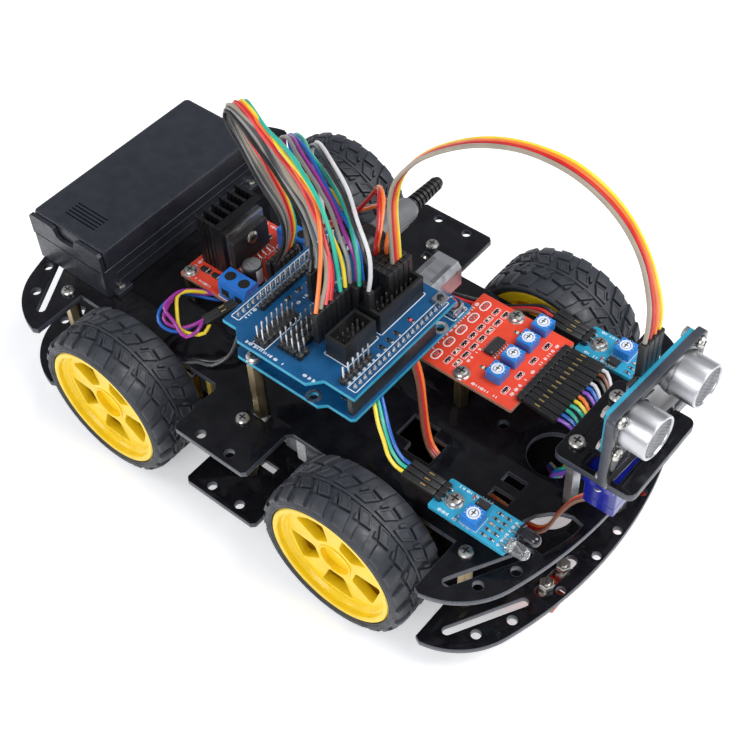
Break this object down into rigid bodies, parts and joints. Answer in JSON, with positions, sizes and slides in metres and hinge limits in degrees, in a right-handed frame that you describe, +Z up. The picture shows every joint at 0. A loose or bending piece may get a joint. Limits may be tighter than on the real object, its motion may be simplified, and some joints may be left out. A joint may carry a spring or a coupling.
{
  "type": "four wheel robot chassis",
  "caption": "Wheeled robot car kit: two black acrylic decks on pillars, yellow gear motors and wheels, control boards, battery case, jumper leads and a panning distance sensor.",
  "frame": {"origin": "on the ground under the middle of the bounding box, with the loops of lead left out", "axes": "+X forward, towards the distance sensor; +Y to the car's left; +Z up"},
  "size_m": [0.2726, 0.1548, 0.1879],
  "materials": {
    "black_acrylic": "polished black acrylic sheet with paler laser-cut edges",
    "brass": "dull nickel-tinted brass pillars with nickel-plated pan head screws",
    "yellow_plastic": "bright yellow injection-moulded plastic, satin",
    "tyre_rubber": "dark slate rubber",
    "white_nylon": "off-white nylon",
    "case_plastic": "dark slate plastic, satin",
    "cell_wrap": "heat-shrunk film",
    "red_board": "red solder mask over fibreglass, with tinned pads",
    "blue_board": "blue solder mask over fibreglass, with white markings and tinned pads",
    "black_metal": "black anodised extrusion",
    "rotor_plastic": "white plastic, slotted",
    "servo_plastic": "translucent blue plastic",
    "button_plastic": "red plastic",
    "plug_plastic": "grey soft plastic",
    "lead_insulation": "coloured insulation, a bundle of single leads",
    "black_plastic": "black connector housings and chip packages",
    "silver_metal": "tinned and nickel-plated metal",
    "white_plastic": "white plastic",
    "blue_plastic": "blue plastic of terminals and trimmers",
    "clear_plastic": "clear resin"
  },
  "bodies": {
    "chassis": {"battery_case": "case_plastic", "battery_cell_front": "cell_wrap", "battery_cell_rear": "cell_wrap", "control_leads": "lead_insulation", "controller_board": "blue_board", "controller_standoff_1": "brass", "controller_standoff_2": "brass", "driver_heatsink": "black_metal", "driver_leads": "lead_insulation", "gear_motor_front_left": "yellow_plastic", "gear_motor_front_right": "yellow_plastic", "gear_motor_rear_left": "yellow_plastic", "gear_motor_rear_right": "yellow_plastic", "line_probe_1": "red_board", "line_probe_2": "red_board", "line_probe_3": "red_board", "line_probe_4": "red_board", "lower_plate": "black_acrylic", "motor_driver_board": "red_board", "obstacle_leads": "lead_insulation", "obstacle_sensor_left": "blue_board", "obstacle_sensor_right": "blue_board", "pan_servo": "servo_plastic", "plate_standoff_front_left": "brass", "plate_standoff_front_right": "brass", "plate_standoff_middle_left": "brass", "plate_standoff_middle_right": "brass", "plate_standoff_rear_left": "brass", "plate_standoff_rear_right": "brass", "platform_standoff_left": "brass", "platform_standoff_right": "brass", "power_plug": "plug_plastic", "sensor_lead": "lead_insulation", "sensor_platform": "black_acrylic", "sensor_shield": "blue_board", "tracking_board": "red_board", "tracking_leads": "lead_insulation", "upper_plate": "black_acrylic"},
    "battery_lid": {"battery_cover": "case_plastic"},
    "reset_cap": {"reset_button": "button_plastic"},
    "sensor_head": {"pan_bracket": "black_acrylic", "distance_sensor": "blue_board"},
    "wheel_front_right": {"tyre_front_right": "tyre_rubber", "wheel_rim_front_right": "yellow_plastic", "axle_shaft_front_right": "white_nylon"},
    "wheel_front_left": {"tyre_front_left": "tyre_rubber", "wheel_rim_front_left": "yellow_plastic", "axle_shaft_front_left": "white_nylon"},
    "wheel_rear_right": {"tyre_rear_right": "tyre_rubber", "wheel_rim_rear_right": "yellow_plastic", "axle_shaft_rear_right": "white_nylon"},
    "wheel_rear_left": {"tyre_rear_left": "tyre_rubber", "wheel_rim_rear_left": "yellow_plastic", "axle_shaft_rear_left": "white_nylon"},
    "tracking_trimmer_1_rotor": {"tracking_trimmer_1": "rotor_plastic"},
    "tracking_trimmer_2_rotor": {"tracking_trimmer_2": "rotor_plastic"},
    "tracking_trimmer_3_rotor": {"tracking_trimmer_3": "rotor_plastic"},
    "tracking_trimmer_4_rotor": {"tracking_trimmer_4": "rotor_plastic"},
    "obstacle_trimmer_right_rotor": {"obstacle_trimmer_right": "rotor_plastic"},
    "obstacle_trimmer_left_rotor": {"obstacle_trimmer_left": "rotor_plastic"}
  },
  "joints": [
    {"name": "wheel_front_right_spin", "type": "hinge", "parent": "chassis", "child": "wheel_front_right", "pos_m": [0.0495, -0.0353, 0.0325], "axis": [0, 1, 0], "continuous": true},
    {"name": "wheel_front_left_spin", "type": "hinge", "parent": "chassis", "child": "wheel_front_left", "pos_m": [0.0495, 0.0353, 0.0325], "axis": [0, 1, 0], "continuous": true},
    {"name": "wheel_rear_right_spin", "type": "hinge", "parent": "chassis", "child": "wheel_rear_right", "pos_m": [-0.0661, -0.0353, 0.0325], "axis": [0, 1, 0], "continuous": true},
    {"name": "wheel_rear_left_spin", "type": "hinge", "parent": "chassis", "child": "wheel_rear_left", "pos_m": [-0.0661, 0.0353, 0.0325], "axis": [0, 1, 0], "continuous": true},
    {"name": "sensor_head_pan", "type": "hinge", "parent": "chassis", "child": "sensor_head", "pos_m": [0.1192, -0.001, 0.0886], "axis": [0, 0, 1], "range_deg": [-87, 93]},
    {"name": "battery_lid_slide", "type": "slide", "parent": "chassis", "child": "battery_lid", "axis": [0, 1, 0], "range_m": [0, 0.09]},
    {"name": "reset_press", "type": "slide", "parent": "chassis", "child": "reset_cap", "axis": [0, 0, -1], "range_m": [0, 0.0004], "stiffness_N_per_m": 800},
    {"name": "tracking_trimmer_1_turn", "type": "hinge", "parent": "chassis", "child": "tracking_trimmer_1_rotor", "pos_m": [0.0612, 0.0055, 0.0698], "axis": [0, 0, 1], "range_deg": [-130, 130]},
    {"name": "tracking_trimmer_2_turn", "type": "hinge", "parent": "chassis", "child": "tracking_trimmer_2_rotor", "pos_m": [0.0612, 0.0149, 0.0698], "axis": [0, 0, 1], "range_deg": [-130, 130]},
    {"name": "tracking_trimmer_3_turn", "type": "hinge", "parent": "chassis", "child": "tracking_trimmer_3_rotor", "pos_m": [0.0612, 0.0243, 0.0698], "axis": [0, 0, 1], "range_deg": [-130, 130]},
    {"name": "tracking_trimmer_4_turn", "type": "hinge", "parent": "chassis", "child": "tracking_trimmer_4_rotor", "pos_m": [0.0612, 0.0337, 0.0698], "axis": [0, 0, 1], "range_deg": [-130, 130]},
    {"name": "obstacle_trimmer_right_turn", "type": "hinge", "parent": "chassis", "child": "obstacle_trimmer_right_rotor", "pos_m": [0.0892, -0.0462, 0.0648], "axis": [0, 0, 1], "range_deg": [-130, 130]},
    {"name": "obstacle_trimmer_left_turn", "type": "hinge", "parent": "chassis", "child": "obstacle_trimmer_left_rotor", "pos_m": [0.0892, 0.0462, 0.0648], "axis": [0, 0, 1], "range_deg": [-130, 130]}
  ]
}
